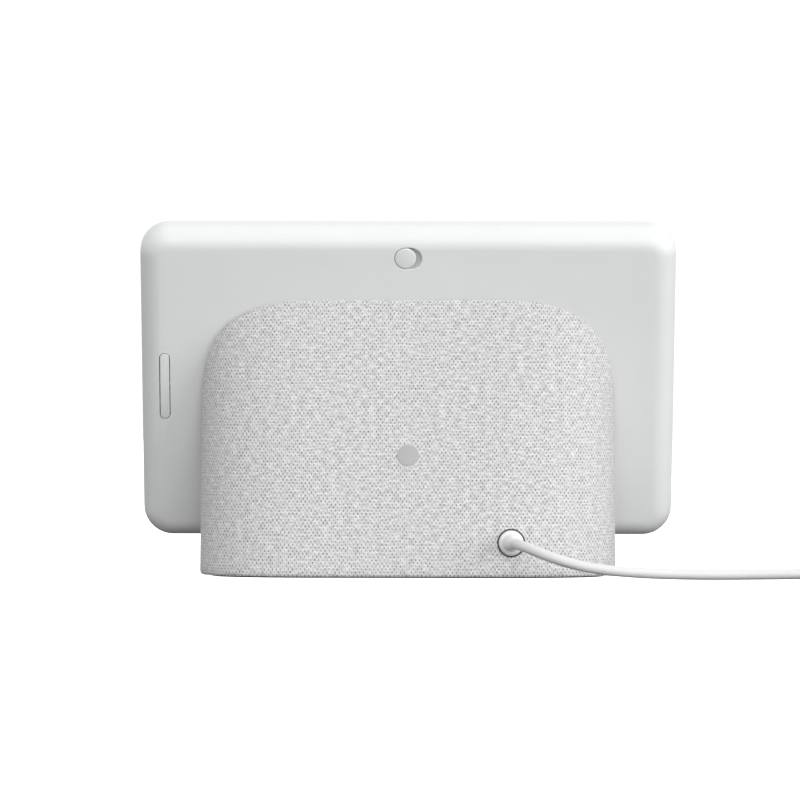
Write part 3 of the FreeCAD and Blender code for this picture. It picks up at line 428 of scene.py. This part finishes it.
def lathe(profile, steps=72):
    """A solid of revolution about the Y axis from (radius, along the axis) corners in millimetres."""
    mesh = bmesh.new()
    corners = [mesh.verts.new((radius * MM, along * MM, 0)) for radius, along in profile]
    for first, second in zip(corners, corners[1:]):
        mesh.edges.new((first, second))
    bmesh.ops.spin(
        mesh, geom=mesh.verts[:] + mesh.edges[:], cent=(0, 0, 0), axis=(0, 1, 0),
        angle=2 * math.pi, steps=steps, use_merge=True,
    )
    bmesh.ops.remove_doubles(mesh, verts=mesh.verts, dist=1e-7)
    bmesh.ops.recalc_face_normals(mesh, faces=mesh.faces)
    return mesh


def hole_cutter(low, high, axis, corner):
    """A rounded block that stands for an opening; it is used up by opened()."""
    mesh = rounded_block(low, high, axis, corner)
    data = bpy.data.meshes.new("opening")
    mesh.to_mesh(data)
    mesh.free()
    return data


def opened(mesh, cutters):
    """The solid less each cutter, as a new bmesh."""
    data = bpy.data.meshes.new("blank")
    mesh.to_mesh(data)
    mesh.free()
    blank = bpy.data.objects.new("blank", data)
    bpy.context.scene.collection.objects.link(blank)
    tools = []
    for cutter in cutters:
        tool = bpy.data.objects.new("opening", cutter)
        bpy.context.scene.collection.objects.link(tool)
        modifier = blank.modifiers.new("opening", "BOOLEAN")
        modifier.operation = "DIFFERENCE"
        modifier.solver = "EXACT"
        modifier.object = tool
        tools.append(tool)
    cut = bmesh.new()
    cut.from_mesh(baked(blank))
    for used in [blank] + tools:
        bpy.data.objects.remove(used)
    return cut


def place_piece(name, mesh, materials, body, nodes=(), turn=None, smooth=30):
    """Makes the finished piece from a bmesh: clean, turned into place, shaded, and riding on its body."""
    bmesh.ops.remove_doubles(mesh, verts=mesh.verts, dist=1e-7)
    bmesh.ops.recalc_face_normals(mesh, faces=mesh.faces)
    if turn is not None:
        bmesh.ops.transform(mesh, matrix=turn, verts=mesh.verts)
    data = bpy.data.meshes.new(name)
    mesh.to_mesh(data)
    mesh.free()
    data.shade_smooth()
    data.set_sharp_from_angle(angle=math.radians(smooth))
    for material in materials:
        data.materials.append(material)
    piece = bpy.data.objects.new(name, data)
    bpy.context.scene.collection.objects.link(piece)
    return adopt(piece, body, nodes)


def adopt(piece, body, nodes):
    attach(piece, body)
    if nodes:
        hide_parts(*nodes)
    return piece


# ------------------------------------------------------------------ display slab
def rear_shell():
    """The moulded back: a rounded tray with a soft back edge, its slider slot and its rocker opening."""
    low, high = lean_box("display_rear_shell")
    mesh = rounded_block(low, high, Y, 10 * MM, 20)
    soften(mesh, end_edges(mesh, Y, high.y), 7 * MM, 12)
    front = min(mesh.faces, key=lambda face: face.calc_center_median().y)
    for wall, floor in ((2.0, 4.5), (2.5, 2.0)):
        bmesh.ops.inset_region(mesh, faces=[front], thickness=wall * MM, use_even_offset=True)
        grown = bmesh.ops.extrude_face_region(mesh, geom=[front])["geom"]
        front = next(part for part in grown if isinstance(part, bmesh.types.BMFace))
        depth = high.y - floor * MM - front.calc_center_median().y
        bmesh.ops.translate(mesh, vec=(0, depth, 0), verts=front.verts)
        bmesh.ops.delete(mesh, geom=[f for f in mesh.faces if len(f.verts) > 40 and f not in (front,)
                                     and abs(f.calc_center_median().y - high.y) > 1e-6], context="FACES_ONLY")
    bmesh.ops.recalc_face_normals(mesh, faces=mesh.faces)
    openings = []
    for name, width, tall in (("mute_switch", 9.2, 7.7), ("volume_board", 3.6, 23.4)):
        part_low, part_high = lean_box(name)
        middle = (part_low + part_high) / 2
        half = Vector((width / 2 * MM, 0, tall / 2 * MM))
        near = Vector((middle.x, high.y - 3.5 * MM, middle.z)) - half
        far = Vector((middle.x, high.y + 2 * MM, middle.z)) + half
        openings.append(hole_cutter(near, far, Y, min(width, tall) / 2 * MM - 1e-5))
    mesh = opened(mesh, openings)
    # the moulded rims of both openings are broken by a hair
    rims = [e for e in end_edges(mesh, Y, high.y) if len(e.link_faces) == 2 and e.calc_face_angle() > 0.6]
    soften(mesh, rims, 0.12 * MM, 2)
    # a narrow flat border keeps the soft edges' shading out of the flat back
    flat = [f for f in mesh.faces if all(abs(v.co.y - high.y) < 1e-7 for v in f.verts)]
    bmesh.ops.inset_region(mesh, faces=flat, thickness=0.25 * MM, use_even_offset=True)
    place_piece("rear_shell", mesh, [shell_white], "stand", ["display_rear_shell"], LEANING)


def front_glass():
    """The cover glass: a white printed border round the dark panel, two pinholes and a sensor lens."""
    low, high = lean_box("front_glass")
    mesh = rounded_block(low, high, Y, 9.7 * MM, 20)
    soften(mesh, end_edges(mesh, Y, low.y), 0.5 * MM, 4)
    pinholes = []
    part_low, part_high = lean_box("microphones")
    up = (part_low.z + part_high.z) / 2
    pinhole_radius, half_microphone = 0.5 * MM, 1.6 * MM
    for across in (part_low.x + half_microphone, part_high.x - half_microphone):
        centre = Vector((across, low.y, up))
        reach = Vector((pinhole_radius, 2.5 * MM, pinhole_radius))
        pinholes.append(hole_cutter(centre - reach, centre + reach, Y, pinhole_radius - 1e-5))
    mesh = opened(mesh, pinholes)
    panel_low, panel_high = lean_box("lcd_panel")
    border = 3 * MM
    window = [
        (X, panel_low.x + border), (X, panel_high.x - border),
        (Z, panel_low.z + border), (Z, panel_high.z - border),
    ]
    for axis, level in window:
        at = Vector((0, 0, 0))
        at[axis] = level
        towards = Vector((0, 0, 0))
        towards[axis] = 1
        everything = mesh.verts[:] + mesh.edges[:] + mesh.faces[:]
        bmesh.ops.bisect_plane(mesh, geom=everything, dist=1e-7, plane_co=at, plane_no=towards)
    for face in mesh.faces:
        spot = face.calc_center_median()
        inside = window[0][1] < spot.x < window[1][1] and window[2][1] < spot.z < window[3][1]
        face.material_index = 1 if inside and abs(spot.y - low.y) < 1e-5 else 0
    place_piece(
        "cover_glass", mesh, [printed_border, dark_window], "stand", ["front_glass"], LEANING,
    )
    # the light sensor looks out through a small dark lens in the border
    sensor_low, sensor_high = lean_box("light_sensor")
    middle = (sensor_low + sensor_high) / 2
    lens = lathe([(0, 0.02), (1.2, 0.02), (1.3, 0.0), (1.3, -0.3), (0, -0.3)], 40)
    turn = LEANING @ Matrix.Translation((middle.x, low.y, middle.z)) @ Matrix.Rotation(math.pi, 4, "Z")
    place_piece("sensor_lens", lens, [dark_window], "stand", (), turn)


def mute_cap():
    """The privacy slider: a round cap with a bevelled rim and its stem."""
    low, high = lean_box("mute_slider")
    knob_low, knob_high = lean_box("mute_switch_knob")
    middle = (knob_low + knob_high) / 2
    deep = (high.y - low.y) / MM
    cap_radius, stem_radius, foot_radius = 3.5, 1.1, 2.6
    cap_foot, foot_top = -1.65, 0.6 - deep
    profile = [
        (0, 0), (cap_radius, 0), (cap_radius, cap_foot), (stem_radius, cap_foot),
        (stem_radius, foot_top), (foot_radius, foot_top), (foot_radius, -deep), (0, -deep),
    ]
    mesh = lathe(profile, 96)
    rim = [e for e in end_edges(mesh, Y, 0.0) if abs(e.verts[0].co.xz.length - cap_radius * MM) < 1e-6]
    soften(mesh, rim, 0.4 * MM, 3)
    turn = LEANING @ Matrix.Translation((middle.x, high.y, middle.z))
    place_piece("mute_cap", mesh, [control_white], "mute_slide_cap", ["mute_slider"], turn)


def volume_key():
    """The volume rocker: a long key with round ends, its pivot bar and two pressing nubs."""
    low, high = lean_box("volume_rocker")
    board_low, board_high = lean_box("volume_board")
    middle = (board_low + board_high) / 2
    half = Vector((3.1 / 2, 0, 22.9 / 2)) * MM
    near = Vector((middle.x, high.y - 3.45 * MM, middle.z)) - half
    far = Vector((middle.x, high.y, middle.z)) + half
    mesh = rounded_block(near, far, Y, 1.54 * MM, 12)
    soften(mesh, end_edges(mesh, Y, high.y), 0.3 * MM, 3)
    pivot = Matrix.Translation((middle.x, high.y - 3.25 * MM, middle.z))
    pivot = pivot @ Matrix.Rotation(math.pi / 2, 4, "Y")
    bmesh.ops.create_cone(
        mesh, cap_ends=True, segments=24, radius1=0.6 * MM, radius2=0.6 * MM, depth=5.8 * MM, matrix=pivot,
    )
    for side in (-1, 1):
        spot = Matrix.Translation((middle.x, high.y - 3.6 * MM, middle.z + side * 8.5 * MM))
        bmesh.ops.create_cone(
            mesh, cap_ends=True, segments=24, radius1=0.9 * MM, radius2=0.9 * MM, depth=0.75 * MM,
            matrix=spot @ Matrix.Rotation(math.pi / 2, 4, "X"),
        )
    place_piece(
        "volume_key_cap", mesh, [control_white], "volume_key", ["volume_rocker"], LEANING,
    )


# ------------------------------------------------------------------ fabric base
BASE_HALF_WIDTH, BASE_HALF_DEPTH, BASE_FLAT_HALF = 69.0, 33.65, 28.6
REAR_SLOPE, LEAN_SHARE, CORNER_FULLNESS = 0.381, 0.65, 1.066
ROUND_STEPS = 208
RISE_STEPS = 52
CLOTH_FOOT, CLOTH_TOP = 0.5, 97.0


def base_point(share, height, inset):
    """A point of the base's level outline in millimetres: share 0 to 1 runs round it from mid rear."""
    deep = BASE_HALF_DEPTH - height * REAR_SLOPE * (1 - LEAN_SHARE) - inset
    wide = BASE_HALF_WIDTH - inset
    middle = -height * REAR_SLOPE * LEAN_SHARE
    quarter, along = divmod(share * 4, 1)
    backwards = quarter in (1, 3)
    if backwards:
        along = 1 - along
    flat_share = 0.32
    if along <= flat_share:
        across, away = BASE_FLAT_HALF * along / flat_share, deep
    else:
        t = (along - flat_share) / (1 - flat_share)
        first, second, third = (1 - t) ** 2, 2 * CORNER_FULLNESS * t * (1 - t), t ** 2
        total = first + second + third
        across = (first * BASE_FLAT_HALF + (second + third) * wide) / total
        away = (first + second) * deep / total
    side_x = 1 if quarter in (0, 1) else -1
    side_y = 1 if quarter in (0, 3) else -1
    return Vector((side_x * across, middle + side_y * away, height))


def cloth_height(row):
    """Two tight rows turn the cloth under at the foot, and the rest are even."""
    if row <= 2:
        return CLOTH_FOOT + 0.5 * row, 0.6 * (1 - row / 2) ** 2
    return 1.5 + (CLOTH_TOP - 1.5) * (row - 2) / (RISE_STEPS - 2), 0.0


def fabric_cover():
    """The knitted sleeve: one sheet round the housing, tucked under at the foot and in at the display."""
    ring = [base_point(i % ROUND_STEPS / ROUND_STEPS, 40, 0) for i in range(ROUND_STEPS + 1)]
    along = [0.0] + list(accumulate((b - a).length for a, b in zip(ring, ring[1:])))
    mesh = bmesh.new()
    cloth = mesh.loops.layers.uv.new("cloth")
    bmesh.ops.create_grid(mesh, x_segments=ROUND_STEPS, y_segments=RISE_STEPS, size=0.5)
    for face in mesh.faces:
        for loop in face.loops:
            step = round((loop.vert.co.x + 0.5) * ROUND_STEPS)
            row = round((loop.vert.co.y + 0.5) * RISE_STEPS)
            loop[cloth].uv = (along[step] * MM, cloth_height(row)[0] * MM)
    for vertex in mesh.verts:
        step = round((vertex.co.x + 0.5) * ROUND_STEPS) % ROUND_STEPS
        row = round((vertex.co.y + 0.5) * RISE_STEPS)
        vertex.co = base_point(step / ROUND_STEPS, *cloth_height(row)) * MM
    bmesh.ops.remove_doubles(mesh, verts=mesh.verts, dist=1e-6)
    # the display's back plane, less the seam's gap, cuts the sleeve
    low, high = lean_box("display_rear_shell")
    outwards = (LEANING @ Vector((0, 1, 0, 0))).xyz
    seam, roll, roll_depth, tuck_depth = 0.5 * MM, 0.9 * MM, 0.6 * MM, 4.0 * MM
    cut_at = outwards * (high.y + seam)
    everything = mesh.verts[:] + mesh.edges[:] + mesh.faces[:]
    bmesh.ops.bisect_plane(
        mesh, geom=everything, dist=1e-7, plane_co=cut_at, plane_no=-outwards, clear_outer=True,
    )
    # a second cut just behind the first lets the edge roll in towards the display
    everything = mesh.verts[:] + mesh.edges[:] + mesh.faces[:]
    bmesh.ops.bisect_plane(
        mesh, geom=everything, dist=1e-7, plane_co=cut_at + outwards * roll, plane_no=-outwards,
    )
    centre = Vector((0, 0, 0))
    at_cut = {v for v in mesh.verts if abs((v.co - cut_at).dot(outwards)) < 1e-6}
    rim = [e for e in mesh.edges if e.is_boundary and at_cut.issuperset(e.verts)]
    rim_points = list({v for e in rim for v in e.verts})
    for v in rim_points:
        centre += v.co / len(rim_points)
    for v in mesh.verts:
        behind = (v.co - cut_at).dot(outwards)
        if behind < roll:
            v.co += (centre - v.co).normalized() * roll_depth * (1 - behind / roll) ** 2
    tuck = bmesh.ops.extrude_edge_only(mesh, edges=rim)["geom"]
    for v in [part for part in tuck if isinstance(part, bmesh.types.BMVert)]:
        v.co += (centre - v.co).normalized() * tuck_depth
        for loop in v.link_loops:
            loop[cloth].uv.y += tuck_depth
    cover = place_piece("fabric_cover", mesh, [knit], "stand", ["fabric_sleeve"], smooth=60)


def badge():
    """A plain round badge pressed on the middle of the rear."""
    low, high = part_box("badge_disc")
    slope = math.atan(REAR_SLOPE)
    radius, thick = 3.65, 0.3
    mesh = lathe([(0, thick), (radius, thick), (radius, 0), (0, 0)], 72)
    rim = [e for e in end_edges(mesh, Y, thick * MM) if abs(e.verts[0].co.xz.length - radius * MM) < 1e-6]
    soften(mesh, rim, 0.14 * MM, 3)
    up = (low.z + high.z) / 2 - thick / 2 * MM * math.sin(slope)
    away = (low.y + high.y) / 2 - thick / 2 * MM * math.cos(slope)
    turn = Matrix.Translation((0, away, up)) @ Matrix.Rotation(slope, 4, "X")
    place_piece("badge", mesh, [badge_grey], "stand", ["badge_disc"], turn)


# ------------------------------------------------------------------ plug, relief, strap and adapter
def follow_lead(name, start, end, radii, material, body, nodes):
    """A tapered sleeve on the lead between two lengths along it, in millimetres."""
    travelled = [0.0] + list(accumulate((b - a).length / MM for a, b in zip(LEAD_LINE, LEAD_LINE[1:])))
    if start < 0:
        start, end = start + travelled[-1], end + travelled[-1]
    route = [(point, place) for point, place in zip(LEAD_LINE, travelled) if start - 1e-6 <= place <= end]
    curve = bpy.data.curves.new(name, "CURVE")
    curve.dimensions = "3D"
    spline = curve.splines.new("POLY")
    spline.points.add(len(route) - 1)
    for knot, (point, place) in zip(spline.points, route):
        share = (place - start) / (end - start) * (len(radii) - 1)
        lane = min(int(share), len(radii) - 2)
        knot.co = (*point, 1)
        knot.radius = radii[lane] + (radii[lane + 1] - radii[lane]) * (share - lane)
    curve.bevel_depth = MM
    curve.bevel_resolution = 8
    curve.use_fill_caps = True
    guide = bpy.data.objects.new(name + "_guide", curve)
    bpy.context.scene.collection.objects.link(guide)
    mesh = bmesh.new()
    mesh.from_mesh(baked(guide))
    bpy.data.objects.remove(guide)
    return place_piece(name, mesh, [material], body, nodes)


RELIEF_LENGTH = 12.0
RELIEF_RADII = (2.8, 2.3, 2.2, 2.15, 2.1, 2.05, 2.0, 1.97, 1.93, 1.9, 1.86, 1.82, 1.76)
BOOT_LENGTH = 7.5
BOOT_RADII = (1.8, 2.1, 2.5, 3.0, 3.2)


def plug_parts():
    """The plug's moulded grip with its relief, and the CAD's own metal sleeve."""
    grip_low, grip_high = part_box("power_plug")
    middle = (grip_low + grip_high) / 2
    deep = (grip_high.y - grip_low.y) / MM
    radius = 4.05
    mesh = lathe([(0, 0), (radius, 0), (radius, -deep), (0, -deep)], 96)
    rim = [e for e in end_edges(mesh, Y, 0.0) if abs(e.verts[0].co.xz.length - radius * MM) < 1e-6]
    soften(mesh, rim, 0.7 * MM, 5)
    turn = Matrix.Translation((middle.x, grip_high.y, middle.z))
    grip = place_piece("plug_grip", mesh, [plug_white], "stand", ["power_plug"], turn)
    relief = follow_lead(
        "plug_relief", 0.0, RELIEF_LENGTH, RELIEF_RADII, plug_white, "stand", ["strain_relief"],
    )
    return [grip, relief, NODES["plug_sleeve"]]


def lead_strap():
    """A hook-and-loop strap round the coil's bundle."""
    low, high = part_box("cord_tie")
    mesh = rounded_block(low, high, Y, 2.4 * MM, 8)
    ends = [face for face in mesh.faces if abs(face.normal.y) > 0.9]
    bmesh.ops.delete(mesh, geom=ends, context="FACES_ONLY")
    bmesh.ops.recalc_face_normals(mesh, faces=mesh.faces)
    bmesh.ops.solidify(mesh, geom=mesh.faces[:], thickness=0.55 * MM)
    return place_piece("lead_strap", mesh, [strap_nylon], "stand", ["cord_tie"])


def mains_adapter():
    """The mains adapter on its side: a rounded block with a parting groove, two blades and its relief."""
    low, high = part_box("adapter_body")
    mesh = rounded_block(low, high, Z, 9 * MM, 14)
    soften(mesh, end_edges(mesh, Z, low.z) + end_edges(mesh, Z, high.z), 2.5 * MM, 6)
    groove, groove_width = high.z - 8 * MM, 0.5 * MM
    for level in (groove, groove + groove_width):
        everything = mesh.verts[:] + mesh.edges[:] + mesh.faces[:]
        bmesh.ops.bisect_plane(mesh, geom=everything, dist=1e-7, plane_co=(0, 0, level), plane_no=UP)
    band = [f for f in mesh.faces if groove < f.calc_center_median().z < groove + groove_width]
    bmesh.ops.inset_region(mesh, faces=band, thickness=0.02 * MM, depth=-0.3 * MM, use_even_offset=True)
    body = place_piece("adapter_case", mesh, [adapter_white], "stand", ["adapter_body"])
    blade_low, blade_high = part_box("adapter_blades")
    pins = bmesh.new()
    thick = 1.5 * MM
    for near in (blade_low.x, blade_high.x - thick):
        corner = Vector((near, blade_low.y, blade_low.z))
        blade = rounded_block(corner, (near + thick, blade_high.y, blade_high.z), X, 1.2 * MM, 5)
        soften(blade, sharp_edges(blade, 50), 0.2 * MM, 2)
        hole = Vector((near + thick / 2, (blade_low.y + blade_high.y) / 2, blade_high.z - 4 * MM))
        reach = Vector((3, 1.5, 1.5)) * MM
        blade = opened(blade, [hole_cutter(hole - reach, hole + reach, X, 1.49 * MM)])
        part = bpy.data.meshes.new("blade")
        blade.to_mesh(part)
        blade.free()
        pins.from_mesh(part)
    blades = place_piece("adapter_pins", pins, [nickel], "stand", ["adapter_blades"])
    relief = follow_lead(
        "adapter_boot", -BOOT_LENGTH, 0.0, BOOT_RADII, plug_white, "stand", ["adapter_relief"],
    )
    return [body, blades, relief]


rear_shell()
front_glass()
mute_cap()
volume_key()
fabric_cover()
badge()
lead_pieces = plug_parts() + [lead_strap()] + mains_adapter()

power_lead.data.materials.append(jacket_white)
adopt(power_lead, "stand", ["power_cord", "cord_coil", "cord_tail"])


# ------------------------------------------------------------------ studio
def stage_plane(name, colour, glow):
    """A wide level plane at the table's height, which is no part of the object."""
    mesh = bmesh.new()
    bmesh.ops.create_grid(mesh, x_segments=1, y_segments=1, size=6)
    data = bpy.data.meshes.new(name)
    mesh.to_mesh(data)
    mesh.free()
    pale, tree, shader = start_material(
        name + "_paper", Roughness=0.9, Base_Color=linear(colour), Emission_Color=(1, 1, 1, 1),
        Emission_Strength=glow,
    )
    data.materials.append(pale)
    plane = bpy.data.objects.new(name, data)
    bpy.context.scene.collection.objects.link(plane)
    return plane


def studio():
    """A plain pale table, an even soft sky and two large lamps, the stronger from the -X side."""
    # the paper that is seen is lit to white from below, and a grey card in its place gives the soft bounce
    table = stage_plane("table", "#F2F2F2", 1.05)
    table.visible_diffuse = False
    table.visible_glossy = False
    table.visible_shadow = False
    card = stage_plane("bounce_card", BOUNCE, 0.0)
    card.location.z = -0.1 * MM
    card.visible_camera = False

    world = bpy.data.worlds.new("studio")
    world.use_nodes = True
    bpy.context.scene.world = world
    tree = world.node_tree
    tree.nodes.clear()
    towards = add_node(tree, "TexCoord", {}).outputs["Generated"]
    parts = add_node(tree, "SeparateXYZ", {"Vector": towards})
    soft = add_node(
        tree, "MapRange",
        {
            "Value": parts.outputs["Z"], "From Min": 0.0, "From Max": 1.0,
            "To Min": SKY_LEVEL, "To Max": SKY_ABOVE,
        },
    )
    seen = add_node(tree, "LightPath", {}).outputs["Is Camera Ray"]
    strength = add_node(
        tree, "Mix", {0: seen, 2: soft.outputs["Result"], 3: SKY_SEEN}, data_type="FLOAT",
    ).outputs[0]
    sky = add_node(tree, "Background", {"Color": (1, 1, 1, 1), "Strength": strength})
    add_node(tree, "OutputWorld", {"Surface": sky.outputs["Background"]})

    middle = Vector((0, 0, 0.05))
    for name, place, size, power in LAMPS:
        light = bpy.data.lights.new(name, "AREA")
        light.size = size
        light.energy = power
        lamp = bpy.data.objects.new(name, light)
        lamp.location = place
        lamp.rotation_euler = (middle - Vector(place)).to_track_quat("-Z", "Y").to_euler()
        bpy.context.scene.collection.objects.link(lamp)


BOUNCE = "#686868"
# the sky's strength at the horizon, straight up, and where the camera sees it
SKY_LEVEL, SKY_ABOVE, SKY_SEEN = 0.9, 0.68, 1.1
LAMPS = (
    ("soft_side", (-1.9, 1.2, 0.35), 1.8, 33.0),
    ("soft_front", (-0.2, 1.95, 0.9), 1.4, 13.0),
)
studio()
bpy.context.scene.view_settings.view_transform = "Standard"
